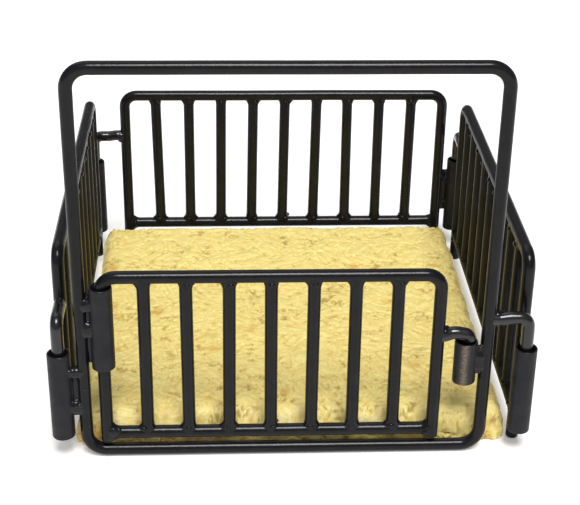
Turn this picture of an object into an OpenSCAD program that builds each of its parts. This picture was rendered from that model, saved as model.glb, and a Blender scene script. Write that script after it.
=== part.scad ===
// Scale-model livestock pen: a tall front frame with a hinged gate, three barred side panels that
// hang on drop pins at the corners, and a loose moulded straw bed.
// The pen stands on z = 0. The origin is the middle of the square of corner pins, and the gate
// faces -Y. Every rod is one gauge. Millimetres.

/* [Rod] */
// Diameter of the steel rod that every frame, bar and pin is bent or cut from
rod_d = 4; // [3.6:0.1:4.2]

/* [Panels] */
// Distance between the two uprights of a panel, centre to centre
panel_w = 120; // [110:1:130]
// Height of a panel's top rail, centre above the floor
panel_top_z = 63.2; // [60:0.2:70]
// Height of a panel's bottom rail, centre above the floor
panel_bottom_z = 10.4; // [9:0.2:14]
// Bars between the uprights of a panel
panel_bars = 9; // [9]
// Centreline radius of a panel's two top bends
panel_bend = 4.4; // [4:0.1:8]

/* [Front frame] */
// Height of the front frame's overhead rail, centre above the floor
front_top_z = 125; // [115:1:135]
// Centreline radius of the front frame's four bends
front_bend = 6; // [5:0.5:10]

/* [Gate] */
// Distance between the gate's two uprights, centre to centre
gate_w = 99; // [98:0.5:99.5]
// Height of the gate's top rail, centre above the floor
gate_top_z = 61.6; // [61:0.2:63]
// Height of the gate's bottom rail, centre above the floor
gate_bottom_z = 8.2; // [8:0.2:10]
// Height of the cut ends of the gate's uprights above the floor
gate_foot_z = 5.4; // [5:0.1:6]
// Bars between the gate's uprights
gate_bars = 7; // [7]
// Centreline radius of the gate's two top bends
gate_bend = 4.6; // [4.2:0.1:5]
// Distance from the front frame's uprights to the hinge barrel and to the latch barrel
barrel_inset = 6.2; // [6:0.1:6.4]

/* [Barrels] */
// Outside diameter of the tube that every barrel is cut from
barrel_od = 7; // [6.8:0.1:7.2]
// Bore of that tube
barrel_bore = 5.8; // [5.4:0.1:6]
// Height of the lower end of the hinge barrel above the floor
hinge_barrel_z = 31.6; // [30:0.2:33]
// Length of the hinge barrel
hinge_barrel_len = 27; // [20:1:27]
// Height of the lower end of the latch barrel above the floor
latch_barrel_z = 25.3; // [24:0.1:26]
// Length of the latch barrel
latch_barrel_len = 14; // [10:0.2:14]
// Height of the lower end of each corner barrel above the floor
corner_barrel_z = 7.4; // [7:0.2:9]
// Length of each corner barrel
corner_barrel_len = 29.2; // [24:0.2:30]

/* [Drop pins] */
// Distance from a panel's left upright to its corner barrel, axis to axis
barrel_reach = 7; // [6.8:0.1:7.6]
// Distance from a panel's right upright to its drop pin, axis to axis
pin_reach = 12; // [10:0.5:14]
// Height of a drop pin's level arm, centre above the floor
pin_arm_z = 47; // [45:0.5:50]
// Centreline radius of a drop pin's bend
pin_bend = 3; // [2.6:0.1:3.4]
// Depth to which a drop pin stands in its corner barrel
pin_depth = 20; // [10:1:28]
// Height of the latch pin's level arm, centre above the floor
latch_arm_z = 42; // [42:0.1:43]
// Gap between the barrel's rim and the tip of a pin that can swing clear of it
open_gap = 0.4; // [0.3:0.1:0.5]

/* [Straw bed] */
// Width of the straw bed, along the gate
bed_w = 133.4; // [120:0.2:133.4]
// Depth of the straw bed, from the gate to the back
bed_d = 131; // [120:0.5:131]
// Thickness of the straw bed
bed_h = 12; // [10:0.5:14]
// Radius of the straw bed's four corners in plan
bed_corner = 4; // [4:0.5:12]

/* [Hidden] */
$fn = 64;
rod_r = rod_d / 2;
// Play left at a weld, where the end of one rod is cut to sit on another
weld_gap = 0.02;
// Half height and thickness of a weld rung between a barrel and its upright
rung_r = 1.5;
// Side of the square that the four corner pins stand on
pen_side = barrel_reach + panel_w + pin_reach;
// Panels are drawn in the X-Z plane with this X at their left upright, seen from outside
left_x = -pen_side / 2 + barrel_reach;
right_x = left_x + panel_w;
barrel_x = -pen_side / 2;
pin_x = pen_side / 2;
corner_rim_z = corner_barrel_z + corner_barrel_len;
corner_rungs = [corner_barrel_z + 11, corner_barrel_z + 23];
hinge_x = left_x + barrel_inset;
gate_right_x = hinge_x + gate_w;
hinge_rungs = [hinge_barrel_z + 14, hinge_barrel_z + 22];
latch_x = right_x - barrel_inset;
latch_rim_z = latch_barrel_z + latch_barrel_len;
latch_bead_z = latch_rim_z - 1.2;
latch_web_z = latch_barrel_z + 3.2;
latch_web_h = 7;
latch_bend = latch_arm_z - latch_rim_z - open_gap;
panel_pitch = panel_w / (panel_bars + 1);
gate_pitch = gate_w / (gate_bars + 1);
frame_black = "#1d1d1f";
straw_yellow = "#e4cf78";

// Each barred panel's name and its turn about the origin, starting from the front
SIDES = [["right", 90, false], ["back", 180, true], ["left", 270, true]];
PANEL_PIECES = ["hoop", "bottom_rail", "corner_barrel", "barrel_welds", "corner_pin"];

// Puts a shape drawn in the X-Z plane on one side of the pen
module on_side(turn) {
  rotate([0, 0, turn])
    translate([0, -pen_side / 2, 0])
      children();
}

// Upright rod
module upright(x, low_z, high_z, r = rod_r) {
  translate([x, 0, low_z])
    cylinder(h = high_z - low_z, r = r);
}

// Level rod
module rail(low_x, high_x, z, r = rod_r) {
  translate([low_x, 0, z])
    rotate([0, 90, 0])
      cylinder(h = high_x - low_x, r = r);
}

// Quarter bend round a centre, starting at an angle from +X towards +Z
module bend(x, z, radius, from) {
  translate([x, 0, z])
    rotate([90, 0, 0])
      rotate([0, 0, from])
        rotate_extrude(angle = 90)
          translate([radius, 0])
            circle(r = rod_r);
}

// Rod bent into an upside-down U
module hoop(low_x, high_x, foot_z, top_z, radius) {
  upright(low_x, foot_z, top_z - radius);
  upright(high_x, foot_z, top_z - radius);
  rail(low_x + radius, high_x - radius, top_z);
  bend(low_x + radius, top_z - radius, radius, 90);
  bend(high_x - radius, top_z - radius, radius, 0);
}

// Upright bar whose ends are cut to sit on a rail below and a rail above
module coped_bar(x, low_z, high_z) {
  difference() {
    upright(x, low_z, high_z);
    rail(x - rod_d, x + rod_d, low_z, rod_r + weld_gap);
    rail(x - rod_d, x + rod_d, high_z, rod_r + weld_gap);
  }
}

// Rail whose ends are cut to sit between two uprights
module coped_rail(low_x, high_x, z) {
  difference() {
    rail(low_x, high_x, z);
    upright(low_x, z - rod_d, z + rod_d, rod_r + weld_gap);
    upright(high_x, z - rod_d, z + rod_d, rod_r + weld_gap);
  }
}

// Short tube
module barrel(x, low_z, length) {
  translate([x, 0, low_z])
    difference() {
      cylinder(h = length, r = barrel_od / 2);
      translate([0, 0, -1])
        cylinder(h = length + 2, r = barrel_bore / 2);
    }
}

// Round weld rung between a barrel and an upright
module rung(barrel_at, upright_at, z, r = rung_r) {
  difference() {
    rail(min(barrel_at, upright_at), max(barrel_at, upright_at), z, r);
    upright(barrel_at, z - rod_d, z + rod_d, barrel_od / 2 + weld_gap);
    upright(upright_at, z - rod_d, z + rod_d, rod_r + weld_gap);
  }
}

// Rod that leaves an upright level and turns down into a barrel
module drop_pin(upright_at, pin_at, arm_z, radius, tip_z) {
  difference() {
    rail(upright_at, pin_at - radius, arm_z);
    upright(upright_at, arm_z - rod_d, arm_z + rod_d, rod_r + weld_gap);
  }
  bend(pin_at - radius, arm_z - radius, radius, 0);
  if (tip_z < arm_z - radius)
    upright(pin_at, tip_z, arm_z - radius);
}

module front_hoop() {
  color(frame_black)
    on_side(0) {
      hoop(left_x, right_x, rod_r + front_bend, front_top_z, front_bend);
      rail(left_x + front_bend, right_x - front_bend, rod_r);
      bend(left_x + front_bend, rod_r + front_bend, front_bend, 180);
      bend(right_x - front_bend, rod_r + front_bend, front_bend, 270);
    }
}

module hinge_barrel() {
  color(frame_black)
    on_side(0)
      barrel(hinge_x, hinge_barrel_z, hinge_barrel_len);
}

module latch_barrel() {
  color(frame_black)
    on_side(0)
      barrel(latch_x, latch_barrel_z, latch_barrel_len);
}

module corner_barrel(turn) {
  color(frame_black)
    on_side(turn)
      barrel(barrel_x, corner_barrel_z, corner_barrel_len);
}

module corner_welds(turn) {
  color(frame_black)
    on_side(turn)
      for (z = corner_rungs)
        rung(barrel_x, left_x, z);
}

module front_welds() {
  corner_welds(0);
  color(frame_black)
    on_side(0) {
      for (z = hinge_rungs)
        rung(hinge_x, left_x, z);
      rung(latch_x, right_x, latch_bead_z, 0.8);
      difference() {
        translate([latch_x, -rung_r, latch_web_z])
          cube([barrel_inset, 2 * rung_r, latch_web_h]);
        upright(latch_x, 0, front_top_z, barrel_od / 2 + weld_gap);
        upright(right_x, 0, front_top_z, rod_r + weld_gap);
      }
    }
}

// The pin of the one open corner ends just above its barrel's rim
module corner_pin(turn, seated) {
  color(frame_black)
    on_side(turn)
      drop_pin(right_x, pin_x, pin_arm_z, pin_bend, corner_rim_z + (seated ? -pin_depth : open_gap));
}

module gate_hoop() {
  color(frame_black)
    on_side(0)
      hoop(hinge_x, gate_right_x, gate_foot_z, gate_top_z, gate_bend);
}

module gate_bottom_rail() {
  color(frame_black)
    on_side(0)
      coped_rail(hinge_x, gate_right_x, gate_bottom_z);
}

module gate_bar(i) {
  color(frame_black)
    on_side(0)
      coped_bar(hinge_x + i * gate_pitch, gate_bottom_z, gate_top_z);
}

module latch_pin() {
  color(frame_black)
    on_side(0)
      drop_pin(gate_right_x, latch_x, latch_arm_z, latch_bend, latch_rim_z + open_gap);
}

module panel_hoop(turn) {
  color(frame_black)
    on_side(turn)
      hoop(left_x, right_x, 0, panel_top_z, panel_bend);
}

module panel_bottom_rail(turn) {
  color(frame_black)
    on_side(turn)
      coped_rail(left_x, right_x, panel_bottom_z);
}

module panel_bar(turn, i) {
  color(frame_black)
    on_side(turn)
      coped_bar(left_x + i * panel_pitch, panel_bottom_z, panel_top_z);
}

module straw_bed() {
  straight_w = bed_w - 2 * bed_corner;
  straight_d = bed_d - 2 * bed_corner;
  color(straw_yellow) {
    translate([-straight_w / 2, -bed_d / 2, 0])
      cube([straight_w, bed_d, bed_h]);
    translate([-bed_w / 2, -straight_d / 2, 0])
      cube([bed_w, straight_d, bed_h]);
    for (x = [-1, 1], y = [-1, 1])
      translate([x * straight_w / 2, y * straight_d / 2, 0])
        cylinder(h = bed_h, r = bed_corner);
  }
}

front_hoop();
hinge_barrel();
latch_barrel();
corner_barrel(0);  // front_corner_barrel
front_welds();
corner_pin(0, true);  // front_corner_pin
gate_hoop();
gate_bottom_rail();
latch_pin();
for (i = [1:gate_bars])
  gate_bar(i);
for (side = SIDES) {
  panel_hoop(side[1]);
  panel_bottom_rail(side[1]);
  corner_barrel(side[1]);
  corner_welds(side[1]);
  corner_pin(side[1], side[2]);
  for (i = [1:panel_bars])
    panel_bar(side[1], i);
}
straw_bed();
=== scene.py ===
import math
import bpy
import numpy as np
from mathutils import Matrix, Vector


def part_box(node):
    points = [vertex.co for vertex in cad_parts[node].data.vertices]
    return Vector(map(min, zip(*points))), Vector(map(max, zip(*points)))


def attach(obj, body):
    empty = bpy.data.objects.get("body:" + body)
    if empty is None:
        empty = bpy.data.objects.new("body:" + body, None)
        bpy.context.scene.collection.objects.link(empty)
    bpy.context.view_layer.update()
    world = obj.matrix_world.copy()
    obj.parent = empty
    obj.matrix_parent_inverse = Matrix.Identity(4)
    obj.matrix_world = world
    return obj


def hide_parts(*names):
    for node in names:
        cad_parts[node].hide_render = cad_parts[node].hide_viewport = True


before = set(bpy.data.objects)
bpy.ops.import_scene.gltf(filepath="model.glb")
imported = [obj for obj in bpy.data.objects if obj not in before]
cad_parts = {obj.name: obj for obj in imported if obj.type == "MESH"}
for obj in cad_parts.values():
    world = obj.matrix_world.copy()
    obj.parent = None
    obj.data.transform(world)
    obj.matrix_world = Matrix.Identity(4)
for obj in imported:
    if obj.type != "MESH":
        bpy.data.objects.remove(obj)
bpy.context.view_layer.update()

# ---------------------------------------------------------------------------------------------
# Studio: the pen stands on a white table top between white walls. One softbox hangs above the
# camera, a very wide one fills in from the front and a weak one lights the back. The table top
# has a faint painted glow of its own, though it is no lamp, which lifts the shade on it.

def add_node(tree, kind, sockets=(), **settings):
    node = tree.nodes.new(kind)
    for name, value in settings.items():
        setattr(node, name, value)
    for key, value in dict(sockets).items():
        if isinstance(value, bpy.types.NodeSocket):
            tree.links.new(value, node.inputs[key])
        else:
            node.inputs[key].default_value = value
    return node


def paint_colour(code):
    """An sRGB hex colour as linear RGBA."""
    parts = [int(code[i:i + 2], 16) / 255 for i in (1, 3, 5)]
    linear = [p / 12.92 if p <= 0.04045 else ((p + 0.055) / 1.055) ** 2.4 for p in parts]
    return (*linear, 1)


def blank_finish(name):
    """A new material with its surface shader, and that shader's tree."""
    finish = bpy.data.materials.new(name)
    finish.use_nodes = True
    tree = finish.node_tree
    tree.nodes.clear()
    surface = add_node(tree, "ShaderNodeBsdfPrincipled")
    add_node(tree, "ShaderNodeOutputMaterial", {"Surface": surface.outputs["BSDF"]})
    return finish, tree, surface


def hang_light(name, elevation, azimuth, strength, spread):
    """A softbox, spread over so many degrees as seen from the pen."""
    light = bpy.data.lights.new(name, "SUN")
    light.energy = strength
    light.angle = math.radians(spread)
    stand = bpy.data.objects.new(name, light)
    bpy.context.scene.collection.objects.link(stand)
    stand.rotation_euler = (math.radians(90 - elevation), 0, math.radians(azimuth))


hang_light("front_softbox", elevation=62, azimuth=8, strength=2.9, spread=24)
hang_light("front_fill", elevation=35, azimuth=350, strength=0.35, spread=100)
hang_light("back_softbox", elevation=55, azimuth=200, strength=0.5, spread=50)

# Room light: the white walls send back a little of it from every side
walls = bpy.data.worlds.new("white_walls")
walls.use_nodes = True
walls.node_tree.nodes["Background"].inputs["Color"].default_value = paint_colour("#ffffff")
walls.node_tree.nodes["Background"].inputs["Strength"].default_value = 0.22
bpy.context.scene.world = walls
bpy.context.scene.view_settings.view_transform = "Standard"

# White laminate: pressed melamine, matt, its faint cloudiness hardly showing under a painted glow
reach = 6
table_top = bpy.data.meshes.new("table_top")
table_top.from_pydata([(-reach, -reach, 0), (reach, -reach, 0), (reach, reach, 0),
                       (-reach, reach, 0)], [], [(0, 1, 2, 3)])
white_laminate_painted_glow, tree, surface = blank_finish("white_laminate_painted_glow")
cloud = add_node(tree, "ShaderNodeTexNoise", {
    "Vector": add_node(tree, "ShaderNodeTexCoord").outputs["Object"],
    "Scale": 6.0,
    "Detail": 2.0,
})
shade = add_node(tree, "ShaderNodeValToRGB", {"Fac": cloud.outputs["Fac"]})
shade.color_ramp.elements[0].color = paint_colour("#f6f6f5")
shade.color_ramp.elements[1].color = paint_colour("#fafafa")
tree.links.new(shade.outputs["Color"], surface.inputs["Base Color"])
surface.inputs["Roughness"].default_value = 0.85
surface.inputs["Specular IOR Level"].default_value = 0.2
# Painted glow: the top gives off a little light of its own, though it is no lamp, to lift its shade
surface.inputs["Emission Color"].default_value = paint_colour("#ffffff")
surface.inputs["Emission Strength"].default_value = 0.2
table_top.materials.append(white_laminate_painted_glow)
table_object = bpy.data.objects.new("table_top", table_top)
bpy.context.scene.collection.objects.link(table_object)

# Camera: a long lens above the front of the pen, looking down at it
camera = bpy.data.objects.new("camera", bpy.data.cameras.new("camera"))
camera.data.sensor_width = 36
camera.data.lens = 86.13
camera.data.clip_start = 0.01
camera.location = (-0.0201, -0.4200, 0.25295)
camera.rotation_euler = [math.radians(turn) for turn in (62.369, -0.827, -2.575)]
bpy.context.scene.collection.objects.link(camera)
bpy.context.scene.camera = camera

# ---------------------------------------------------------------------------------------------
# Front hoop: one length of 4 mm mild steel rod, bent cold at four corners and butt welded into a
# ring, then dipped in black enamel. It stands on its bottom rail.

def outline(node, turn=0):
    """A CAD node's left, right, low and high edges in mm, as seen from outside its side."""
    low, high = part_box(node)
    along = Vector((math.cos(math.radians(turn)), math.sin(math.radians(turn)), 0))
    left_edge, right_edge = sorted((low.dot(along), high.dot(along)))
    return 1000 * left_edge, 1000 * right_edge, 1000 * low.z, 1000 * high.z


def new_tree(name, sizes):
    """A Geometry Nodes tree with a blank and named sizes for inputs, and its input sockets."""
    kinds = {"Finish": "NodeSocketMaterial", "Seed": "NodeSocketInt", "Count": "NodeSocketInt"}
    tree = bpy.data.node_groups.new(name, "GeometryNodeTree")
    tree.interface.new_socket("Blank", in_out="INPUT", socket_type="NodeSocketGeometry")
    for size in sizes:
        tree.interface.new_socket(size, in_out="INPUT",
                                  socket_type=kinds.get(size, "NodeSocketFloat"))
    tree.interface.new_socket("Piece", in_out="OUTPUT", socket_type="NodeSocketGeometry")
    return tree, add_node(tree, "NodeGroupInput").outputs


def end_tree(tree, shape, inputs):
    """Closes a tree: its parts are realized, shaded smooth and given their finish."""
    solid = add_node(tree, "GeometryNodeRealizeInstances", {0: shape})
    smooth = add_node(tree, "GeometryNodeSetShadeSmooth", {0: solid.outputs[0]})
    painted = add_node(tree, "GeometryNodeSetMaterial", {
        "Geometry": smooth.outputs[0],
        "Material": inputs["Finish"],
    })
    add_node(tree, "NodeGroupOutput", {0: painted.outputs[0]})


def run_tree(tree, blank, sizes, rounding=0.0, melting=0.0, bores=None):
    """The plain mesh that a tree makes from a blank, its cut ends rounded over by so many mm, or
    its parts melted together on a grid of so many mm and bored out again."""
    holder = bpy.data.objects.new("blank", blank)
    bpy.context.scene.collection.objects.link(holder)
    steps = holder.modifiers.new("making", "NODES")
    steps.node_group = tree
    for item in tree.interface.items_tree:
        if item.in_out == "INPUT" and item.name in sizes:
            steps[item.identifier] = sizes[item.name]
    if rounding:
        edge = holder.modifiers.new("rounded_ends", "BEVEL")
        edge.limit_method = "ANGLE"
        edge.angle_limit = math.radians(50)
        edge.width = rounding
        edge.segments = 3
    if melting:
        pool = holder.modifiers.new("melted", "REMESH")
        pool.mode = "VOXEL"
        pool.voxel_size = melting
        pool.use_smooth_shade = True
        flow = holder.modifiers.new("flowed", "SMOOTH")
        flow.factor = 0.5
        flow.iterations = 12
        reamer = bpy.data.objects.new("reamer", bores)
        bpy.context.scene.collection.objects.link(reamer)
        reamed = holder.modifiers.new("reamed", "BOOLEAN")
        reamed.operation = "DIFFERENCE"
        reamed.solver = "EXACT"
        reamed.object = reamer
    seen = holder.evaluated_get(bpy.context.evaluated_depsgraph_get())
    mesh = bpy.data.meshes.new_from_object(seen)
    bpy.data.objects.remove(holder)
    if melting:
        bpy.data.objects.remove(reamer)
        mesh.materials.clear()
        mesh.materials.append(sizes["Finish"])
        for face in mesh.polygons:
            face.material_index = 0
            face.use_smooth = True
    return mesh


low_corner, high_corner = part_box("front_hoop")
side_y = 500 * (low_corner.y + high_corner.y)
rod_r = 500 * (high_corner.y - low_corner.y)


def fit_piece(name, mesh, turn, body, finish_slot, *nodes):
    """Stands a mesh drawn in mm, as seen from outside one side, in its place on the pen."""
    mesh.transform(Matrix.Rotation(math.radians(turn), 4, "Z")
                   @ Matrix.Translation((0, side_y / 1000, 0))
                   @ Matrix.Scale(0.001, 4))
    # Nothing sinks into the table top
    for point in mesh.vertices:
        point.co.z = max(point.co.z, 0.0)
    mesh.name = name
    piece = bpy.data.objects.new(name, mesh)
    bpy.context.scene.collection.objects.link(piece)
    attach(piece, body)
    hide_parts(*nodes)


# Black enamel: mild steel dipped in alkyd enamel and stoved. It is a deep satin black under a
# glossy skin, cloudy over 6 mm, with faint orange peel about 1 mm across and a few pale specks of
# dust. A brown-grey painted highlight with a crumbly grain is laid on where a point value asks.
# Real specks are a tenth of a millimetre; specks and grain are drawn at 0.3 and 0.4 mm to show.
def black_enamel(name, black, worn, peel_size, peel_depth, rough, gloss, skin, skin_rough, specks):
    finish, tree, surface = blank_finish(name)
    place = add_node(tree, "ShaderNodeTexCoord").outputs["Object"]
    cloud = add_node(tree, "ShaderNodeTexNoise", {
        "Vector": place, "Scale": 1 / 0.006, "Detail": 3.0, "Roughness": 0.6,
    })
    tone = add_node(tree, "ShaderNodeValToRGB", {"Fac": cloud.outputs["Fac"]})
    tone.color_ramp.elements[0].position = 0.35
    tone.color_ramp.elements[1].position = 0.75
    tone.color_ramp.elements[0].color = paint_colour(black)
    tone.color_ramp.elements[1].color = paint_colour(worn)
    grit = add_node(tree, "ShaderNodeTexVoronoi", {"Vector": place, "Scale": 1 / 0.0028})
    rare = add_node(tree, "ShaderNodeSeparateColor", {"Color": grit.outputs["Color"]})
    near = add_node(tree, "ShaderNodeMath", {
        0: grit.outputs["Distance"], 1: 0.055,
    }, operation="LESS_THAN")
    chosen = add_node(tree, "ShaderNodeMath", {
        0: rare.outputs["Red"], 1: 1 - specks,
    }, operation="GREATER_THAN")
    speck = add_node(tree, "ShaderNodeMath", {
        0: near.outputs[0], 1: chosen.outputs[0],
    }, operation="MULTIPLY")
    colour = add_node(tree, "ShaderNodeMix", {
        0: speck.outputs[0],
        6: tone.outputs["Color"],
        7: paint_colour("#8a8068"),
    }, data_type="RGBA")
    # Painted highlight: brown-grey grain, as strong as the point value, laid over the enamel
    highlight_mask = add_node(tree, "ShaderNodeAttribute", attribute_name="painted_highlight").outputs["Fac"]
    highlight_grain = add_node(tree, "ShaderNodeTexNoise", {
        "Vector": place, "Scale": 1 / 0.0004, "Detail": 1.0,
    })
    highlight_grain = add_node(tree, "ShaderNodeMapRange", {
        "Value": highlight_grain.outputs["Fac"], "From Min": 0.22, "From Max": 0.72,
    })
    thin = add_node(tree, "ShaderNodeMath", {0: highlight_grain.outputs["Result"], 1: highlight_mask},
                    operation="MULTIPLY")
    colour = add_node(tree, "ShaderNodeMix", {
        0: thin.outputs[0],
        6: colour.outputs[2],
        7: paint_colour("#8f7f6c"),
    }, data_type="RGBA")
    tree.links.new(colour.outputs[2], surface.inputs["Base Color"])
    patch = add_node(tree, "ShaderNodeTexNoise", {
        "Vector": place, "Scale": 1 / 0.0018, "Detail": 4.0, "Roughness": 0.65,
    })
    satin = add_node(tree, "ShaderNodeMapRange", {
        "Value": patch.outputs["Fac"], "From Min": 0.3, "From Max": 0.7,
        "To Min": rough - 0.05, "To Max": rough + 0.07,
    })
    low_weld = add_node(tree, "ShaderNodeAttribute", attribute_name="low_weld").outputs["Fac"]
    high_weld = add_node(tree, "ShaderNodeAttribute", attribute_name="high_weld").outputs["Fac"]
    pooled = add_node(tree, "ShaderNodeMath", {0: low_weld, 1: high_weld})
    wet = add_node(tree, "ShaderNodeMath", {
        0: pooled.outputs[0], 1: -0.35, 2: satin.outputs["Result"],
    }, operation="MULTIPLY_ADD", use_clamp=True)
    tree.links.new(wet.outputs[0], surface.inputs["Roughness"])
    peel = add_node(tree, "ShaderNodeTexNoise", {
        "Vector": place, "Scale": 1 / peel_size, "Detail": 2.0, "Roughness": 0.5,
    })
    relief = add_node(tree, "ShaderNodeBump", {
        "Height": peel.outputs["Fac"], "Strength": 1.0, "Distance": peel_depth,
    })
    tree.links.new(relief.outputs["Normal"], surface.inputs["Normal"])
    tree.links.new(relief.outputs["Normal"], surface.inputs["Coat Normal"])
    surface.inputs["IOR"].default_value = 1.5
    surface.inputs["Specular IOR Level"].default_value = gloss
    surface.inputs["Coat Weight"].default_value = skin
    surface.inputs["Coat Roughness"].default_value = skin_rough
    surface.inputs["Coat IOR"].default_value = 1.5
    return finish


rod_enamel = black_enamel(
    "black_enamelled_rod", black="#0f0f11", worn="#18181b", peel_size=0.0009, peel_depth=0.00003,
    rough=0.31, gloss=0.07, skin=0.27, skin_rough=0.08, specks=0.02)

# A rod has this many facets round it, and is drawn this many mm under its radius, so that its
# waver stays inside the rod's own box
facets = 28
spare = 0.06

# Bending tree: a wire of corner points, each corner bent to a radius, the rod drawn along it. The
# rod wavers by a tenth of a millimetre or so, as hand-bent rod does.
bending, sizes = new_tree("rod_bending", ["Rod radius", "Bend radius", "Spacing", "Waver",
                                          "Seed", "Finish"])
centre_line = add_node(bending, "GeometryNodeMeshToCurve", {0: sizes["Blank"]})
corners = add_node(bending, "GeometryNodeFilletCurve", {
    "Curve": centre_line.outputs[0], "Count": 10, "Radius": sizes["Bend radius"],
}, mode="POLY")
even = add_node(bending, "GeometryNodeResampleCurve", {
    "Curve": corners.outputs[0], "Length": sizes["Spacing"],
}, mode="LENGTH")
section = add_node(bending, "GeometryNodeCurvePrimitiveCircle", {
    "Resolution": facets, "Radius": sizes["Rod radius"],
})
drawn = add_node(bending, "GeometryNodeCurveToMesh", {
    "Curve": even.outputs[0], "Profile Curve": section.outputs[0], "Fill Caps": True,
})
sway = add_node(bending, "ShaderNodeTexNoise", {
    "W": sizes["Seed"], "Scale": 1 / 38, "Detail": 1.0,
}, noise_dimensions="4D")
middle = add_node(bending, "ShaderNodeVectorMath", {
    0: sway.outputs["Color"], 1: (0.5, 0.5, 0.5),
}, operation="SUBTRACT")
amount = add_node(bending, "ShaderNodeVectorMath", {
    0: middle.outputs[0], "Scale": sizes["Waver"],
}, operation="SCALE")
wavy = add_node(bending, "GeometryNodeSetPosition", {
    "Geometry": drawn.outputs[0], "Offset": amount.outputs[0],
})
end_tree(bending, wavy.outputs[0], sizes)


def bend_rod(points, bend_r, spacing, waver, seed, finish, closed=False):
    """A rod bent through corner points (x, z) in mm. Its cut ends are rounded over, or it is
    butt welded into a ring."""
    wire = bpy.data.meshes.new("wire")
    count = len(points)
    edges = [(i, (i + 1) % count) for i in range(count if closed else count - 1)]
    wire.from_pydata([(x, 0, z) for x, z in points], edges, [])
    return run_tree(bending, wire, {
        "Rod radius": rod_r - spare, "Bend radius": bend_r, "Spacing": spacing, "Waver": waver,
        "Seed": seed, "Finish": finish,
    }, rounding=0.0 if closed else 0.35)


left, right, low, high = outline("front_hoop")
front_left, front_right = left + rod_r, right - rod_r
front_low, front_high = low + rod_r, high - rod_r
mesh = bend_rod([(front_left, front_low), (front_right, front_low), (front_right, front_high),
                 (front_left, front_high)],
                bend_r=6.0, spacing=0.8, waver=0.22, seed=3, finish=rod_enamel, closed=True)
fit_piece("front_hoop_rod", mesh, 0, "front_frame", "rod_paint", "front_hoop")

# ---------------------------------------------------------------------------------------------
# Barrels: short lengths of 7 mm steel tube, sawn and tumbled so that the rims are rounded, and
# coated with the rods. The coating is thicker and rougher on them, like fine leather.

# Thick black enamel: the same paint over sawn tube. It is duller and greyer than on the rods,
# with a deeper peel that spreads its highlights, and it holds more dust.
tube_enamel = black_enamel(
    "black_enamelled_tube", black="#19191c", worn="#26262a", peel_size=0.0007, peel_depth=0.00008,
    rough=0.52, gloss=0.16, skin=0.09, skin_rough=0.20, specks=0.03)
tube_wall = 0.6


def turned_tube(x, low, high, outer, highlight_strength):
    """A tube with rounded rims, standing at x, in mm. Its point values say where the rims are, and
    where a painted highlight lies on the front of it, at a strength from 0 to 1."""
    inner = outer - tube_wall
    lip = (outer - inner) * 0.5
    length = high - low
    steps, turns = 12, 48
    # The painted highlight is centred at 258 degrees, the side turned towards the camera, 17 wide
    highlight_at, highlight_width = 258, 17
    arc = [math.radians(15 * step) for step in range(1, 12)]
    outside = [(outer, low + lip + (length - 2 * lip) * i / steps) for i in range(steps + 1)]
    top = [(outer - lip + lip * math.cos(a), high - lip + lip * math.sin(a)) for a in arc]
    inside = [(inner, high - lip - (length - 2 * lip) * i / steps) for i in range(steps + 1)]
    foot = [(inner + lip - lip * math.cos(a), low + lip - lip * math.sin(a)) for a in arc]
    profile = outside + top + inside + foot
    points, faces, rims, painted_highlight = [], [], [], []
    for r, z in profile:
        for i in range(turns):
            angle = 2 * math.pi * i / turns
            rims.append(float(min(z - low, high - z) < lip * 0.99))
            aside = abs(math.degrees(angle) - highlight_at)
            painted_highlight.append(highlight_strength * float(r > outer - 0.05)
                          * math.exp(-(aside / highlight_width) ** 2))
            # Sawn tube is a few hundredths of a millimetre out of round
            dent = 0.035 * math.sin(2 * angle + 0.7) + 0.025 * math.sin(3 * angle + 0.11 * z)
            reach = r - spare + dent
            points.append((x + reach * math.cos(angle), reach * math.sin(angle), z))
    rows = len(profile)
    for row in range(rows):
        this, above = row * turns, (row + 1) % rows * turns
        for i in range(turns):
            beside = (i + 1) % turns
            faces.append((this + i, this + beside, above + beside, above + i))
    tube = bpy.data.meshes.new("tube")
    tube.from_pydata(points, [], faces)
    tube.attributes.new("high_weld", "FLOAT", "POINT").data.foreach_set("value", rims)
    tube.attributes.new("painted_highlight", "FLOAT", "POINT").data.foreach_set("value", painted_highlight)
    tube.materials.append(tube_enamel)
    for face in tube.polygons:
        face.use_smooth = True
    return tube


# Each barrel, which way its side of the pen faces in degrees, and its body
barrels = [("front_corner_barrel", 0, "front_frame"), ("hinge_barrel", 0, "front_frame"),
           ("latch_barrel", 0, "front_frame"), ("right_corner_barrel", 90, "right_panel"),
           ("back_corner_barrel", 180, "back_panel"), ("left_corner_barrel", 270, "left_panel")]
for node, turn, body in barrels:
    left, right, low, high = outline(node, turn)
    # Only the latch barrel carries the painted highlight
    mesh = turned_tube((left + right) / 2, low, high, outer=(right - left) / 2,
                       highlight_strength=0.85 if node == "latch_barrel" else 0.0)
    fit_piece(node + "_tube", mesh, turn, body, "barrel_paint", node)

# ---------------------------------------------------------------------------------------------
# Bars and bottom rails: straight 4 mm rod, sawn, pressed between the rails and arc welded at both
# ends. Each weld leaves a small web of its own size in the corners beside the bar.

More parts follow.
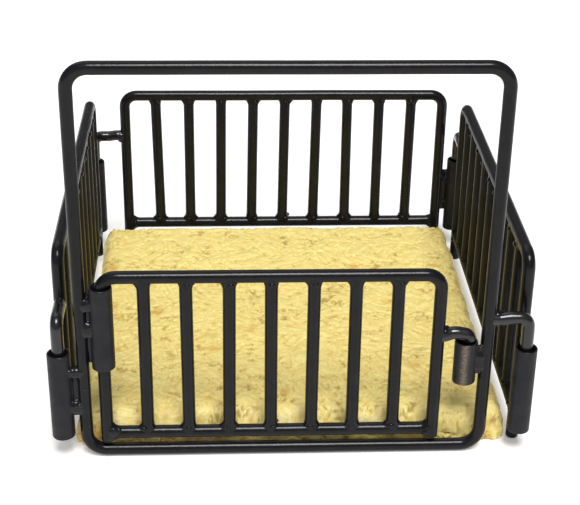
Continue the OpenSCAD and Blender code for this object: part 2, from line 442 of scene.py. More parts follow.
def coped_blank(low, high):
    """A rod between two level rods whose centres are at low and high, its ends cut to sit on them.
    Its point values say how near the low and the high weld each point is."""
    steps = [-0.12, 0.0, 0.15, 0.3, 0.5, 0.75, 1.05, 1.4, 1.8, 2.3]
    web_high = steps[-1]
    clear = high - low - 2 * web_high
    rows = steps + [web_high + clear * i / 12 for i in range(1, 12)]
    rows += [high - low - step for step in reversed(steps)]
    radius = rod_r - spare
    points, low_weld, high_weld = [], [], []
    for height in rows:
        share = height / (high - low)
        for i in range(facets):
            angle = 2 * math.pi * i / facets
            saddle = rod_r * abs(math.cos(angle))
            z = low + height + saddle * (1 - 2 * share)
            points.append((radius * math.cos(angle), radius * math.sin(angle), z))
            side = abs(math.cos(angle)) ** 0.7
            low_weld.append(side * max(0.0, 1 - max(height, 0) / web_high) ** 2)
            high_weld.append(side * max(0.0, 1 - max(high - low - height, 0) / web_high) ** 2)
    faces = []
    for row in range(len(rows) - 1):
        for i in range(facets):
            here, beside = row * facets + i, row * facets + (i + 1) % facets
            faces.append((here, beside, beside + facets, here + facets))
    faces.append(tuple(reversed(range(facets))))
    faces.append(tuple((len(rows) - 1) * facets + i for i in range(facets)))
    blank = bpy.data.meshes.new("coped_rod")
    blank.from_pydata(points, [], faces)
    blank.attributes.new("low_weld", "FLOAT", "POINT").data.foreach_set("value", low_weld)
    blank.attributes.new("high_weld", "FLOAT", "POINT").data.foreach_set("value", high_weld)
    return blank


def rise_above(tree, noise, middle, amount):
    """How far a noise stands above its middle value, times an amount."""
    above = add_node(tree, "ShaderNodeMath", {0: noise, 1: middle}, operation="SUBTRACT")
    return add_node(tree, "ShaderNodeMath", {0: above.outputs[0], 1: amount},
                    operation="MULTIPLY").outputs[0]


def push_out(tree, shape, height):
    """A shape whose surface is pushed out by a height in mm."""
    out = add_node(tree, "ShaderNodeVectorMath", {
        0: add_node(tree, "GeometryNodeInputNormal").outputs[0], "Scale": height,
    }, operation="SCALE")
    return add_node(tree, "GeometryNodeSetPosition", {
        "Geometry": shape, "Offset": out.outputs[0],
    }).outputs[0]


# Barring tree: one blank stood at even steps along the rails. Each bar has its own lean, and each
# of its four corners its own web of weld metal.
barring, sizes = new_tree("welded_bars", ["Count", "First", "Pitch", "Low", "High", "Lean",
                                          "Least web", "Most web", "Seed", "Finish"])
start = add_node(barring, "ShaderNodeCombineXYZ", {0: sizes["First"]})
step = add_node(barring, "ShaderNodeCombineXYZ", {0: sizes["Pitch"]})
marks = add_node(barring, "GeometryNodeMeshLine", {
    "Count": sizes["Count"], "Start Location": start.outputs[0], "Offset": step.outputs[0],
})
stood = add_node(barring, "GeometryNodeInstanceOnPoints", {
    "Points": marks.outputs[0], "Instance": sizes["Blank"],
})
numbered = add_node(barring, "GeometryNodeStoreNamedAttribute", {
    "Geometry": stood.outputs[0], "Name": "bar_number",
    "Value": add_node(barring, "GeometryNodeInputIndex").outputs[0],
}, data_type="INT", domain="INSTANCE")
loose = add_node(barring, "GeometryNodeRealizeInstances", {0: numbered.outputs[0]})
number = add_node(barring, "GeometryNodeInputNamedAttribute", {"Name": "bar_number"},
                  data_type="INT").outputs[0]
spot = add_node(barring, "ShaderNodeSeparateXYZ", {
    0: add_node(barring, "GeometryNodeInputPosition").outputs[0],
})
at = add_node(barring, "ShaderNodeMath", {
    0: number, 1: sizes["Pitch"], 2: sizes["First"],
}, operation="MULTIPLY_ADD")
across = add_node(barring, "ShaderNodeMath", {
    0: spot.outputs["X"], 1: at.outputs[0],
}, operation="SUBTRACT")
which = add_node(barring, "ShaderNodeMath", {0: across.outputs[0], 1: 0.0},
                 operation="GREATER_THAN")
facing = add_node(barring, "ShaderNodeMath", {0: across.outputs[0]}, operation="SIGN")
webs, ends = [], []
for end, offset in (("low_weld", 0.0), ("high_weld", 2.0)):
    near = add_node(barring, "GeometryNodeInputNamedAttribute", {"Name": end},
                    data_type="FLOAT").outputs[0]
    ends.append(near)
    key = add_node(barring, "ShaderNodeMath", {0: number, 1: 4.0, 2: offset},
                   operation="MULTIPLY_ADD")
    key = add_node(barring, "ShaderNodeMath", {0: key.outputs[0], 1: which.outputs[0]})
    size = add_node(barring, "FunctionNodeRandomValue", {
        2: sizes["Least web"], 3: sizes["Most web"], "ID": key.outputs[0],
        "Seed": sizes["Seed"],
    }, data_type="FLOAT")
    web = add_node(barring, "ShaderNodeMath", {0: size.outputs[1], 1: near},
                   operation="MULTIPLY")
    webs.append(web.outputs[0])
web = add_node(barring, "ShaderNodeMath", {0: webs[0], 1: webs[1]})
web = add_node(barring, "ShaderNodeMath", {0: web.outputs[0], 1: facing.outputs[0]},
               operation="MULTIPLY")
tilt = add_node(barring, "FunctionNodeRandomValue", {
    2: -1.0, 3: 1.0, "ID": number, "Seed": sizes["Seed"],
}, data_type="FLOAT")
height = add_node(barring, "ShaderNodeMapRange", {
    "Value": spot.outputs["Z"], "From Min": sizes["Low"], "From Max": sizes["High"],
    "To Min": -0.5, "To Max": 0.5,
})
lean = add_node(barring, "ShaderNodeMath", {0: tilt.outputs[1], 1: sizes["Lean"]},
                operation="MULTIPLY")
lean = add_node(barring, "ShaderNodeMath", {
    0: lean.outputs[0], 1: height.outputs["Result"], 2: web.outputs[0],
}, operation="MULTIPLY_ADD")
move = add_node(barring, "ShaderNodeCombineXYZ", {0: lean.outputs[0]})
leaning = add_node(barring, "GeometryNodeSetPosition", {
    "Geometry": loose.outputs[0], "Offset": move.outputs[0],
})
# Spatter: the weld metal swells and pits near the ends only
swell = add_node(barring, "ShaderNodeTexNoise", {"Scale": 1 / 1.6, "Detail": 2.0})
both = add_node(barring, "ShaderNodeMath", {0: ends[0], 1: ends[1]}, use_clamp=True)
swell = rise_above(barring, swell.outputs["Fac"], 0.45, both.outputs[0])
swollen = push_out(barring, leaning.outputs[0], swell)
# Drops: on each face of each joint one drop of weld metal stands proud, wet with paint. Each row
# of drops has its own block of numbers for its random draws.
drop = add_node(barring, "GeometryNodeMeshIcoSphere", {"Radius": 1.0, "Subdivisions": 3})
drop_rise, drop_out = 2.1, 1.75
index = add_node(barring, "GeometryNodeInputIndex").outputs[0]
parts = add_node(barring, "GeometryNodeJoinGeometry", {0: swollen})
rows = [(level, way, face) for level, way in (("Low", 1), ("High", -1)) for face in (-1, 1)]
for key, (level, way, face) in enumerate(rows):
    z = add_node(barring, "ShaderNodeMath", {0: sizes[level], 1: way * drop_rise})
    start = add_node(barring, "ShaderNodeCombineXYZ", {
        0: sizes["First"], 1: face * drop_out, 2: z.outputs[0],
    })
    marks = add_node(barring, "GeometryNodeMeshLine", {
        "Count": sizes["Count"], "Start Location": start.outputs[0], "Offset": step.outputs[0],
    })
    own = add_node(barring, "ShaderNodeMath", {0: index, 1: 40.0 + 20.0 * key})
    aside = add_node(barring, "FunctionNodeRandomValue", {
        2: -1.5, 3: 1.5, "ID": own.outputs[0], "Seed": sizes["Seed"],
    }, data_type="FLOAT")
    spread = add_node(barring, "ShaderNodeCombineXYZ", {0: aside.outputs[1]})
    moved = add_node(barring, "GeometryNodeSetPosition", {
        "Geometry": marks.outputs[0], "Offset": spread.outputs[0],
    })
    own = add_node(barring, "ShaderNodeMath", {0: index, 1: 240.0 + 20.0 * key})
    size = add_node(barring, "FunctionNodeRandomValue", {
        2: 0.45, 3: 1.05, "ID": own.outputs[0], "Seed": sizes["Seed"],
    }, data_type="FLOAT")
    shape = add_node(barring, "ShaderNodeVectorMath", {
        0: (1.3, 0.75, 0.9), "Scale": size.outputs[1],
    }, operation="SCALE")
    run = add_node(barring, "GeometryNodeInstanceOnPoints", {
        "Points": moved.outputs[0], "Instance": drop.outputs[0], "Scale": shape.outputs[0],
    })
    run = add_node(barring, "GeometryNodeRealizeInstances", {0: run.outputs[0]})
    wet = add_node(barring, "GeometryNodeStoreNamedAttribute", {
        "Geometry": run.outputs[0], "Name": "low_weld", "Value": 0.8,
    }, data_type="FLOAT", domain="POINT")
    barring.links.new(wet.outputs[0], parts.inputs[0])
end_tree(barring, parts.outputs[0], sizes)

# Each fence's side, which way it faces in degrees, its body, its bars, how far they lean at most in
# mm, and its seed
fences = [("gate", 0, "gate", 7, 0.3, 4), ("right", 90, "right_panel", 9, 0.7, 11),
          ("back", 180, "back_panel", 9, 0.8, 17), ("left", 270, "left_panel", 9, 0.7, 23)]
for side, turn, body, count, lean_most, seed in fences:
    foot_left, foot_right, rail_low, rail_high = outline(side + "_bottom_rail", turn)
    hoop_left, hoop_right, _, hoop_high = outline(side + "_hoop", turn)
    bottom, top = (rail_low + rail_high) / 2, hoop_high - rod_r
    bars = [f"{side}_bar_{i}" for i in range(1, count + 1)]
    edges = [outline(bar, turn) for bar in bars]
    centres = sorted((edge[0] + edge[1]) / 2 for edge in edges)
    pitch = (centres[-1] - centres[0]) / (count - 1)
    mesh = run_tree(barring, coped_blank(bottom, top), {
        "Count": count, "First": centres[0], "Pitch": pitch, "Low": bottom, "High": top,
        "Lean": lean_most, "Least web": 0.15, "Most web": 1.3, "Seed": seed,
        "Finish": rod_enamel,
    })
    fit_piece(side + "_bars", mesh, turn, body, "rod_paint", *bars)
    # The bottom rail is the same blank laid on its side between the two uprights
    mesh = run_tree(barring, coped_blank(hoop_left + rod_r, hoop_right - rod_r), {
        "Count": 1, "First": 0.0, "Pitch": 1.0, "Low": foot_left, "High": foot_right,
        "Lean": 0.2, "Least web": 0.5, "Most web": 1.3, "Seed": seed + 1,
        "Finish": rod_enamel,
    })
    mesh.transform(Matrix(((0, 0, 1, 0), (0, -1, 0, 0), (1, 0, 0, bottom), (0, 0, 0, 1))))
    fit_piece(side + "_bottom_rod", mesh, turn, body, "rod_paint", side + "_bottom_rail")

# ---------------------------------------------------------------------------------------------
# Hoops of the gate and the panels: 4 mm rod bent to an upside-down U in a jig. Their feet are
# sawn off square and the saw's burr is tumbled off.

# Each hoop's side, which way it faces in degrees, its body, its bends' radius and its waver in mm,
# and its seed
hoops = [("gate", 0, "gate", 4.6, 0.14, 31), ("right", 90, "right_panel", 4.4, 0.3, 37),
         ("back", 180, "back_panel", 4.4, 0.3, 41), ("left", 270, "left_panel", 4.4, 0.3, 43)]
for side, turn, body, bend_r, waver, seed in hoops:
    left, right, low, high = outline(side + "_hoop", turn)
    left, right, high = left + rod_r, right - rod_r, high - rod_r
    mesh = bend_rod([(left, low), (left, high), (right, high), (right, low)],
                    bend_r, spacing=0.8, waver=waver, seed=seed, finish=rod_enamel)
    fit_piece(side + "_hoop_rod", mesh, turn, body, "rod_paint", side + "_hoop")

# ---------------------------------------------------------------------------------------------
# Drop pins: offcuts of the same rod, welded level to an upright and hooked down by hand into the
# next corner's barrel, so that no two have quite the same hump.

# Pooled black enamel: the same paint where it ran and gathered on the pins. It is smoother and
# wetter looking than on the rods, with broad white glints and no dust.
pooled_enamel = black_enamel(
    "black_enamel_pooled", black="#111113", worn="#1a1a1d", peel_size=0.0012, peel_depth=0.00004,
    rough=0.32, gloss=0.16, skin=0.75, skin_rough=0.07, specks=0.0)

# Each pin's side, which way it faces in degrees, its body, how far its arm sags in mm, and its seed
pins = [("front", 0, "front_frame", 0.5, 51), ("right", 90, "right_panel", 0.3, 53),
        ("back", 180, "back_panel", -0.3, 57), ("left", 270, "left_panel", 0.2, 59)]
for side, turn, body, sag, seed in pins:
    left, right, low, high = outline(side + "_corner_pin", turn)
    post = outline(side + "_hoop", turn)[1] - rod_r
    pin, arm = right - rod_r, high - rod_r
    mesh = bend_rod([(post + 0.8, arm - 0.25), (post + 3.2, arm - sag), (post + 6.2, arm - 0.1),
                     (pin - 0.2, arm - 0.1), (pin, arm - 5.0), (pin, low)],
                    bend_r=2.9, spacing=0.4, waver=0.1, seed=seed, finish=pooled_enamel)
    fit_piece(side + "_corner_pin_rod", mesh, turn, body, "rod_paint", side + "_corner_pin")

# Latch pin: one more offcut, hammered into a wave from its weld on the gate's upright down to the
# mouth of the latch barrel.
left, right, low, high = outline("latch_pin")
gate_post = outline("gate_hoop")[1] - rod_r
arm, pin = high - rod_r, right - rod_r
mesh = bend_rod([(gate_post + 0.9, arm - 1.1), (gate_post + 2.2, arm - 0.8),
                 (gate_post + 4.2, arm), (gate_post + 5.8, arm - 0.05),
                 (gate_post + 7.6, arm - 0.4), (gate_post + 9.2, arm - 0.6), (pin + 0.9, low)],
                bend_r=1.8, spacing=0.3, waver=0.2, seed=61, finish=pooled_enamel)
fit_piece("latch_pin_rod", mesh, 0, "gate", "rod_paint", "latch_pin")

# ---------------------------------------------------------------------------------------------
# Weld beads: steel run in with an arc between each barrel and its upright and at the root of each
# pin, where it melts on to both. They are dipped with the rods.

# Black enamel on welds: the same paint stretched over lumpy metal, as black as the rods, with a
# slightly wetter skin that picks out the lumps in small glints.
weld_enamel = black_enamel(
    "black_enamel_on_welds", black="#101012", worn="#19191c", peel_size=0.0012,
    peel_depth=0.00004, rough=0.32, gloss=0.05, skin=0.45, skin_rough=0.07, specks=0.0)

# Beading tree: a lumpy drop at each point that has a bead size, beside the sleeves of the blank
beading, sizes = new_tree("weld_beads", ["Lumps", "Lump size", "Seed", "Finish"])
drop = add_node(beading, "GeometryNodeMeshIcoSphere", {"Radius": 1.0, "Subdivisions": 4})
reach = add_node(beading, "GeometryNodeInputNamedAttribute", {"Name": "bead_size"},
                 data_type="FLOAT_VECTOR")
span = add_node(beading, "ShaderNodeVectorMath", {0: reach.outputs[0]}, operation="LENGTH")
is_bead = add_node(beading, "ShaderNodeMath", {0: span.outputs["Value"], 1: 0.0},
                   operation="GREATER_THAN")
run = add_node(beading, "GeometryNodeInstanceOnPoints", {
    "Points": sizes["Blank"], "Selection": is_bead.outputs[0], "Instance": drop.outputs[0],
    "Scale": reach.outputs[0],
})
melted = add_node(beading, "GeometryNodeRealizeInstances", {0: run.outputs[0]})
lump = add_node(beading, "ShaderNodeTexNoise", {
    "W": sizes["Seed"], "Scale": sizes["Lump size"], "Detail": 1.5,
}, noise_dimensions="4D")
lump = rise_above(beading, lump.outputs[0], 0.5, sizes["Lumps"])
lumpy = push_out(beading, melted.outputs[0], lump)
together = add_node(beading, "GeometryNodeJoinGeometry", {0: lumpy})
beading.links.new(sizes["Blank"], together.inputs[0])
end_tree(beading, together.outputs[0], sizes)


def weld_blank(runs, sleeves):
    """Points for weld beads, each (x, y, z, half width, half depth, half height) in mm, and the
    sleeves of steel that they melt on to, each (x, low, high, radius)."""
    points = [row[:3] for row in runs]
    reach = [value for row in runs for value in row[3:]]
    faces = []
    turns = 40
    for x, low, high, radius in sleeves:
        first = len(points)
        upper = first + turns
        for z in (low, high):
            for i in range(turns):
                angle = math.tau * i / turns
                points.append((x + radius * math.cos(angle), radius * math.sin(angle), z))
        for i in range(turns):
            beside = (i + 1) % turns
            faces.append((first + i, first + beside, upper + beside, upper + i))
        faces.append(tuple(reversed(range(first, upper))))
        faces.append(tuple(range(upper, upper + turns)))
    reach += [0.0] * (3 * (len(points) - len(runs)))
    blank = bpy.data.meshes.new("weld_blank")
    blank.from_pydata(points, [], faces)
    blank.attributes.new("bead_size", "FLOAT_VECTOR", "POINT").data.foreach_set("vector", reach)
    return blank


def lay_welds(side, turn, body, node, beads, sleeves, bores, seed):
    """Runs a side's beads, melts them on to their sleeves and reams the barrels out again."""
    mesh = run_tree(beading, weld_blank(beads, sleeves), {
        "Lumps": 0.5, "Lump size": 1 / 1.8, "Seed": seed, "Finish": weld_enamel,
    }, melting=0.2, bores=weld_blank([], bores))
    fit_piece(side + "_weld_beads", mesh, turn, body, "rod_paint", node)


# The sleeves lie this many mm under the paint of the rods and tubes, so that only beads show. The
# reamer cuts back to a little inside the tube's wall, and runs out past both rims.
sunk = 0.16
reamed_wall = 0.45
run_out = 2.0

post_r = rod_r - sunk
corner = outline("front_corner_barrel")
corner_x = (corner[0] + corner[1]) / 2
corner_gap = (corner[1] + front_left - rod_r) / 2
corner_low = corner[2]
tube_r = (corner[1] - corner[0]) / 2 - sunk
bore_r = (corner[1] - corner[0]) / 2 - reamed_wall
corner_beads = [(corner_gap + 0.4, -0.6, corner_low + 22.6, 3.2, 1.7, 2.1),
                (corner_gap + 2.2, -1.1, corner_low + 23.4, 1.3, 1.3, 0.9),
                (corner_gap - 1.2, -1.3, corner_low + 23.5, 1.2, 1.3, 0.9),
                (corner_gap + 0.2, -0.6, corner_low + 10.4, 3.2, 1.8, 2.7),
                (corner_gap + 1.2, -1.5, corner_low + 11.8, 1.3, 1.1, 0.8),
                (corner_gap + 2.9, -1.3, corner_low + 17.5, 0.9, 0.9, 0.7),
                (corner_gap, 0.3, corner_low + 16.4, 1.0, 1.2, 7.0)]
corner_sleeves = [(front_left, corner_low + 5.5, corner_low + 26.5, post_r),
                  (corner_x, corner_low + 5.5, corner_low + 26.5, tube_r)]
corner_bore = (corner_x, corner_low - run_out, corner_low + 32.0, bore_r)

hinge = outline("hinge_barrel")
hinge_x = (hinge[0] + hinge[1]) / 2
hinge_gap = (hinge[0] + front_left + rod_r) / 2
latch = outline("latch_barrel")
latch_x = (latch[0] + latch[1]) / 2
latch_gap = (latch[1] + front_right - rod_r) / 2
pin_root = outline("front_corner_pin")[3] - rod_r
# Beads at a drop pin's root, from the middle of its upright and the middle of its arm
root_beads = [(2.2, 0.1, 0.9, 1.6, 1.5, 1.3), (2.0, -0.2, -1.2, 1.2, 1.6, 1.5),
              (3.6, 0.7, 1.3, 1.1, 0.9, 0.8)]
root_half = 4.5
front_beads = corner_beads + [
    (hinge_gap - 0.2, -0.5, hinge[3] - 5.7, 3.1, 1.7, 2.3),
    (hinge_gap - 0.3, -0.5, hinge[3] - 14.0, 3.2, 1.7, 2.8),
    (hinge_gap, 0.6, hinge[3] - 14.0, 0.9, 1.1, 12.5),
    (latch_gap, -0.4, latch[3] - 5.1, 3.0, 1.75, 1.7),
    (latch_gap, -0.4, latch[3] - 8.3, 3.2, 1.8, 2.0),
    (latch_gap, -0.4, latch[3] - 6.7, 2.8, 1.6, 4.6),
    (latch_gap + 0.3, -1.1, latch[3] - 1.9, 1.3, 1.2, 0.9),
] + [(front_right + x, y, pin_root + z, a, b, c) for x, y, z, a, b, c in root_beads]
front_sleeves = corner_sleeves + [
    (front_left, hinge[3] - 26.5, hinge[3] - 1.5, post_r),
    (hinge_x, hinge[3] - 26.5, hinge[3] - 1.5, tube_r),
    (front_right, latch[2] + 0.5, latch[3] + 1.5, post_r),
    (latch_x, latch[2] + 0.5, latch[3] - 0.5, tube_r),
    (front_right, pin_root - root_half, pin_root + root_half, post_r),
]
front_bores = [
    corner_bore,
    (hinge_x, hinge[2] - run_out, hinge[3] + run_out, bore_r),
    (latch_x, latch[2] - run_out, latch[3] + run_out, bore_r),
]
lay_welds("front", 0, "front_frame", "front_welds", front_beads, front_sleeves, front_bores,
          seed=5)

# The gate's own welds: its rail's two ends and the root of its latch pin. They are kept clear of
# the latch barrel's mouth, so that the gate can swing.
gate_left = outline("gate_hoop")[0] + rod_r
gate_rail = outline("gate_bottom_rail")[3] - rod_r
latch_root = outline("latch_pin")[3] - rod_r
gate_beads = [
    (gate_left + 1.9, -0.9, gate_rail + 0.6, 2.2, 1.4, 1.7),
    (gate_left + 0.8, -0.8, gate_rail - 1.3, 1.8, 1.4, 1.5),
    (gate_left + 3.4, -0.7, gate_rail + 0.9, 1.6, 1.1, 1.1),
    (gate_post - 2.2, -0.2, gate_rail + 0.8, 1.7, 1.5, 1.3),
    (gate_post + 1.9, -0.1, latch_root + 0.1, 1.5, 1.8, 2.0),
    (gate_post + 2.4, 0.7, latch_root + 1.2, 1.1, 1.0, 0.8),
]
gate_sleeves = [
    (gate_left, gate_rail - 2.4, gate_rail + 5.0, post_r),
    (gate_post, gate_rail - 2.4, gate_rail + 5.0, post_r),
    (gate_post, latch_root - 5.0, latch_root + 5.0, post_r),
]
mouth = (latch_x, latch[2] - run_out, latch[3] + 0.3, bore_r + 0.6)
lay_welds("gate", 0, "gate", "gate_bottom_rail", gate_beads, gate_sleeves, [mouth], seed=8)

for side, turn, body, seed in (("right", 90, "right_panel", 12), ("back", 180, "back_panel", 15),
                               ("left", 270, "left_panel", 19)):
    post = outline(side + "_hoop", turn)[1] - rod_r
    roots = [(post + x, y, pin_root + z, a, b, c) for x, y, z, a, b, c in root_beads]
    root_sleeve = (post, pin_root - root_half, pin_root + root_half, post_r)
    lay_welds(side, turn, body, side + "_barrel_welds", corner_beads + roots,
              corner_sleeves + [root_sleeve], [corner_bore], seed)

# ---------------------------------------------------------------------------------------------
# Straw bed: a slab of cast polyurethane resin, taken from a mould made from real matted straw
# and brushed with an ochre wash that stays in the hollows. It lies loose in the pen. Its straws
# are drawn at their own size, 1 to 2 mm wide and 5 to 7 mm long.

def slab_blank(half_x, half_y, height, corner_r, roll, fall):
    """A slab of the given half width and half depth, in mm, with round corners and a top edge that
    rolls out and falls by so much, and a point value that is 0 on top and 1 from the edge down."""
    lines_across = 245
    wall_rows = 8
    turn_in = np.radians(np.linspace(0, 90, 8)[1:])
    drop = np.concatenate([turn_in[::-1], np.zeros(lines_across), turn_in])
    lines = []
    for half in (half_x, half_y):
        flat = np.linspace(roll - half, half - roll, lines_across)
        rolled = half - roll + roll * np.sin(turn_in)
        lines.append(np.concatenate([-rolled[::-1], flat, rolled]))
    x, y = np.meshgrid(*lines, indexing="ij")
    tilt = np.maximum(drop[:, None], drop[None, :])
    core_x, core_y = half_x - corner_r, half_y - corner_r
    p = np.clip((np.abs(x) - core_x) / corner_r, 0, 1)
    q = np.clip((np.abs(y) - core_y) / corner_r, 0, 1)
    inside = (p > 0) & (q > 0)
    round_x = core_x + corner_r * p * np.sqrt(1 - q * q / 2)
    round_y = core_y + corner_r * q * np.sqrt(1 - p * p / 2)
    x = np.where(inside, np.sign(x) * round_x, x)
    y = np.where(inside, np.sign(y) * round_y, y)
    z = height - fall * (1 - np.cos(tilt))
    size = len(drop)
    points = np.stack([x, y, z], -1).reshape(-1, 3)
    edge = np.clip(tilt.reshape(-1) / math.radians(90), 0, 1)
    number = np.arange(size * size).reshape(size, size)
    a, b, c, d = number[:-1, :-1], number[1:, :-1], number[1:, 1:], number[:-1, 1:]
    faces = [tuple(f) for f in np.stack([a, b, c, d], -1).reshape(-1, 4).tolist()]
    rim = np.concatenate([number[:-1, 0], number[-1, :-1], number[:0:-1, -1], number[0, :0:-1]])
    wall = [rim]
    for row in range(1, wall_rows + 1):
        ring = points[rim].copy()
        ring[:, 2] = (height - fall) * (1 - row / wall_rows)
        wall.append(np.arange(len(rim)) + len(points))
        points = np.concatenate([points, ring])
        edge = np.concatenate([edge, np.ones(len(rim))])
    for upper, lower in zip(wall[:-1], wall[1:]):
        turned = np.stack([upper, lower, np.roll(lower, -1), np.roll(upper, -1)], -1)
        faces += [tuple(f) for f in turned.tolist()]
    faces.append(tuple(wall[-1][::-1].tolist()))
    slab = bpy.data.meshes.new("slab")
    slab.from_pydata(points.tolist(), [], faces)
    slab.attributes.new("edge", "FLOAT", "POINT").data.foreach_set("value", edge)
    slab.update()
    return slab


def straw_field(tree, place, cell, long, wide, channel):
    """Short parallel straws that lie another way in each patch: patches of so many mm across,
    straws so many mm long and wide. The channel of the patches' colour sets which way they lie."""
    shaken = add_node(tree, "ShaderNodeTexNoise", {
        "Vector": place, "Scale": 1 / (cell * 0.6), "Detail": 1.0,
    })
    shaken = add_node(tree, "ShaderNodeVectorMath", {
        0: shaken.outputs["Color"], 1: (cell * 0.9,) * 3, 2: place,
    }, operation="MULTIPLY_ADD")
    patch = add_node(tree, "ShaderNodeTexVoronoi", {
        "Vector": shaken.outputs[0], "Scale": 1 / cell,
    })
    splitter = "ShaderNodeSeparateColor" if tree.type == "SHADER" else "ShaderNodeSeparateXYZ"
    way = add_node(tree, splitter, {0: patch.outputs["Color"]})
    angle = add_node(tree, "ShaderNodeMath", {0: way.outputs[channel], 1: math.tau / 2},
                     operation="MULTIPLY")
    laid = add_node(tree, "ShaderNodeVectorRotate", {
        "Vector": place, "Angle": angle.outputs[0],
    }, rotation_type="Z_AXIS")
    thin = add_node(tree, "ShaderNodeVectorMath", {
        0: laid.outputs[0], 1: (1 / long, 1 / wide, 1 / wide),
    }, operation="MULTIPLY")
    return add_node(tree, "ShaderNodeTexNoise", {
        "Vector": thin.outputs[0], "Scale": 1.0, "Detail": 2.0, "Roughness": 0.55,
    }).outputs[0]


# Cast resin: polyurethane coloured through, straw yellow, and faintly translucent. It is dull on
# the matted top, with ochre wash in patches and hollows and a pale painted highlight on edge lumps.
straw_resin, tree, surface = blank_finish("cast_resin_straw")
metres = add_node(tree, "ShaderNodeTexCoord").outputs["Object"]
place = add_node(tree, "ShaderNodeVectorMath", {0: metres, "Scale": 1000.0},
                 operation="SCALE").outputs[0]
hollow = add_node(tree, "ShaderNodeAttribute", attribute_name="hollow").outputs["Fac"]
edge = add_node(tree, "ShaderNodeAttribute", attribute_name="edge").outputs["Fac"]
straws = straw_field(tree, place, cell=9.0, long=5.0, wide=1.0, channel=0)
straw_tone = add_node(tree, "ShaderNodeValToRGB", {"Fac": straws})
ramp = straw_tone.color_ramp
ramp.elements[0].position, ramp.elements[1].position = 0.28, 0.72
ramp.elements[0].color = paint_colour("#e2c66e")
ramp.elements[1].color = paint_colour("#f6e795")
crease = add_node(tree, "ShaderNodeMapRange", {
    "Value": hollow, "From Min": 0.48, "From Max": 0.85, "To Max": 0.8,
})
creased = add_node(tree, "ShaderNodeMix", {
    0: crease.outputs["Result"], 6: straw_tone.outputs["Color"], 7: paint_colour("#a1843b"),
}, data_type="RGBA")
wash = add_node(tree, "ShaderNodeTexNoise", {
    "Vector": place, "Scale": 1 / 8, "Detail": 2.0, "Roughness": 0.5,
})
wash = add_node(tree, "ShaderNodeMath", {0: edge, 1: 0.13, 2: wash.outputs["Fac"]},
                operation="MULTIPLY_ADD")
wash = add_node(tree, "ShaderNodeMapRange", {
    "Value": wash.outputs[0], "From Min": 0.60, "From Max": 0.78, "To Max": 0.75,
}, interpolation_type="SMOOTHSTEP")
washed = add_node(tree, "ShaderNodeMix", {
    0: wash.outputs["Result"], 6: creased.outputs[2], 7: paint_colour("#d0a443"),
}, data_type="RGBA")
# Painted highlight: the raised lumps round the edge are painted pale
painted_highlight_mask = add_node(tree, "ShaderNodeMapRange", {
    "Value": hollow, "From Min": 0.34, "From Max": 0.10, "To Max": 0.8,
})
painted_highlight_mask = add_node(tree, "ShaderNodeMath", {0: painted_highlight_mask.outputs["Result"], 1: edge},
                  operation="MULTIPLY")
painted_highlight = add_node(tree, "ShaderNodeMix", {
    0: painted_highlight_mask.outputs[0], 6: washed.outputs[2], 7: paint_colour("#faf1c4"),
}, data_type="RGBA")
tree.links.new(painted_highlight.outputs[2], surface.inputs["Base Color"])
dull = add_node(tree, "ShaderNodeMapRange", {
    "Value": straws, "From Min": 0.3, "From Max": 0.7, "To Min": 0.62, "To Max": 0.5,
})
tree.links.new(dull.outputs["Result"], surface.inputs["Roughness"])
relief = add_node(tree, "ShaderNodeBump", {
    "Height": straws, "Strength": 1.0, "Distance": 0.00027,
})
tree.links.new(relief.outputs["Normal"], surface.inputs["Normal"])
surface.inputs["IOR"].default_value = 1.48
surface.inputs["Subsurface Weight"].default_value = 0.08
surface.inputs["Subsurface Scale"].default_value = 0.002

# Matting tree: the slab's skin is raised by lumps and straws, cut by creases and bulged at the
# edge, and each point keeps how deep in a hollow it lies, for the wash
matting, sizes = new_tree("matted_straw", ["Lumps", "Straws", "Creases", "Edge bulge", "Finish"])
place = add_node(matting, "GeometryNodeInputPosition").outputs[0]
edge = add_node(matting, "GeometryNodeInputNamedAttribute", {"Name": "edge"},
                data_type="FLOAT").outputs[0]
lump = add_node(matting, "ShaderNodeTexNoise", {"Vector": place, "Scale": 1 / 13, "Detail": 2.0})
lump = rise_above(matting, lump.outputs[0], 0.5, sizes["Lumps"])
straws = straw_field(matting, place, cell=10.0, long=7.0, wide=1.5, channel=0)
straws = rise_above(matting, straws, 0.5, sizes["Straws"])
creases = straw_field(matting, place, cell=7.0, long=5.0, wide=2.0, channel=1)
creases = add_node(matting, "ShaderNodeMath", {0: creases, 1: 0.5}, operation="SUBTRACT")
creases = add_node(matting, "ShaderNodeMath", {0: creases.outputs[0]}, operation="ABSOLUTE")
creases = add_node(matting, "ShaderNodeMapRange", {
    "Value": creases.outputs[0], "From Min": 0.0, "From Max": 0.07, "To Min": 1.0, "To Max": 0.0,
}, interpolation_type="SMOOTHSTEP")
some = add_node(matting, "ShaderNodeTexNoise", {"Vector": place, "Scale": 1 / 5, "Detail": 1.0})
some = add_node(matting, "ShaderNodeMapRange", {
    "Value": some.outputs[0], "From Min": 0.38, "From Max": 0.60,
}, interpolation_type="SMOOTHSTEP")
creases = add_node(matting, "ShaderNodeMath", {
    0: creases.outputs[0], 1: some.outputs[0],
}, operation="MULTIPLY")
cut = add_node(matting, "ShaderNodeMath", {0: creases.outputs[0], 1: sizes["Creases"]},
               operation="MULTIPLY")
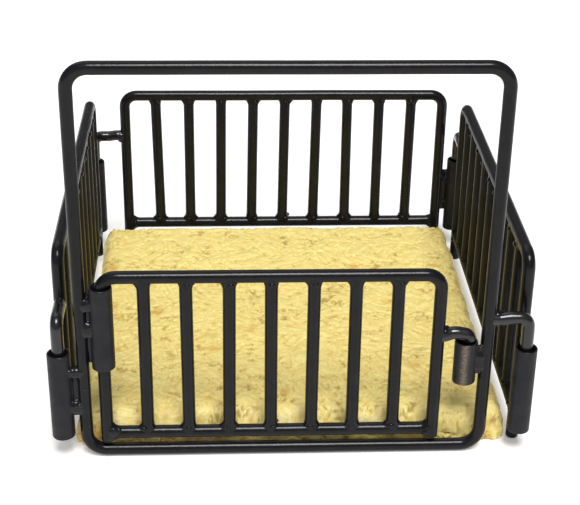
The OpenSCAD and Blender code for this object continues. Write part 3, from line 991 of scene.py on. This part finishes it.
bulge = add_node(matting, "ShaderNodeTexNoise", {"Vector": place, "Scale": 1 / 9, "Detail": 1.0})
bulge = rise_above(matting, bulge.outputs[0], 0.52, edge)
bulge = add_node(matting, "ShaderNodeMath", {0: bulge, 1: sizes["Edge bulge"]},
                 operation="MULTIPLY")
total = add_node(matting, "ShaderNodeMath", {0: lump, 1: straws})
total = add_node(matting, "ShaderNodeMath", {0: total.outputs[0], 1: cut.outputs[0]},
                 operation="SUBTRACT")
# The bulge counts for less in the wash than in the shape
washed_depth = add_node(matting, "ShaderNodeMath", {
    0: bulge.outputs[0], 1: 0.35, 2: total.outputs[0],
}, operation="MULTIPLY_ADD")
total = add_node(matting, "ShaderNodeMath", {0: total.outputs[0], 1: bulge.outputs[0]})
depth = add_node(matting, "ShaderNodeMapRange", {
    "Value": washed_depth.outputs[0], "From Min": 0.5, "From Max": -1.1,
})
marked = add_node(matting, "GeometryNodeStoreNamedAttribute", {
    "Geometry": sizes["Blank"], "Name": "hollow", "Value": depth.outputs[0],
}, data_type="FLOAT", domain="POINT")
end_tree(matting, push_out(matting, marked.outputs[0], total.outputs[0]), sizes)

left, right, low, high = outline("straw_bed")
back = outline("straw_bed", 90)[1]
blank = slab_blank(half_x=right - 0.2, half_y=back - 0.2, height=high - 0.8, corner_r=4.0,
                   roll=4.0, fall=8.0)
mesh = run_tree(matting, blank, {
    "Lumps": 1.6, "Straws": 1.35, "Creases": 0.85, "Edge bulge": 4.5, "Finish": straw_resin,
})
# What swells past the bed's own box is pressed back flat, as the mould's walls and floor do
place = np.empty(3 * len(mesh.vertices))
mesh.vertices.foreach_get("co", place)
place = place.reshape(-1, 3)
place[:, 0] = np.clip(place[:, 0], left, right)
place[:, 1] = np.clip(place[:, 1], -back, back)
place[:, 2] = np.clip(place[:, 2], low, high)
mesh.vertices.foreach_set("co", place.reshape(-1))
mesh.transform(Matrix.Scale(0.001, 4))
bed = bpy.data.objects.new("straw_bed_casting", mesh)
bpy.context.scene.collection.objects.link(bed)
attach(bed, "straw_bed")
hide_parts("straw_bed")
